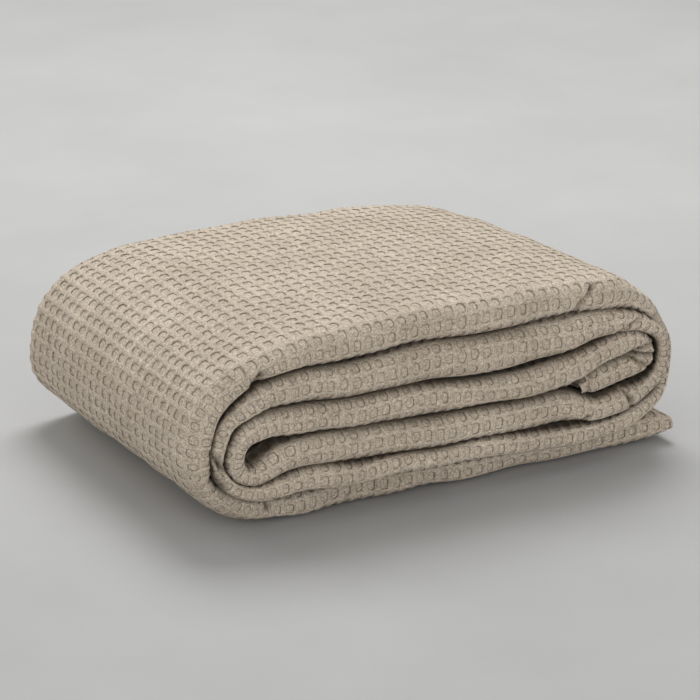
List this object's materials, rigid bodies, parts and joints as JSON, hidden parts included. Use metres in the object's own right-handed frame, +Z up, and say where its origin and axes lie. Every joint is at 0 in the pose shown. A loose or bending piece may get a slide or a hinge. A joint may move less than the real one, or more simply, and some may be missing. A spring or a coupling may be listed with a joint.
{
  "type": "folded throw blanket",
  "caption": "Thick beige throw in a pad-textured cotton weave, folded lengthwise into a strip and rolled flat into a soft rounded bundle",
  "frame": {"origin": "centre of the bundle's bounding box, on the surface it rests on", "axes": "X runs along the flat layers from the broad rounded end (-X) to the steep rounded end with the free edge (+X); Y runs across the folded strip, with the side that shows the layers facing -Y; Z is up"},
  "size_m": [0.32, 0.228, 0.1102],
  "materials": {
    "cloth": "matt woven cotton with small sunken pads in straight rows, and ribs between them",
    "hem_cloth": "the same cloth turned over and stitched at its end"
  },
  "bodies": {
    "root": {"bottom_layer": "cloth", "outer_end_hem": "hem_cloth", "left_outer_wrap": "cloth", "top_layer": "cloth", "right_outer_wrap": "cloth", "lower_layer": "cloth", "left_middle_wrap": "cloth", "upper_layer": "cloth", "right_middle_wrap": "cloth", "lower_core_layer": "cloth", "left_core_wrap": "cloth", "upper_core_layer": "cloth", "right_core_wrap": "cloth", "core_flap": "cloth", "inner_end_hem": "hem_cloth"}
  },
  "joints": []
}
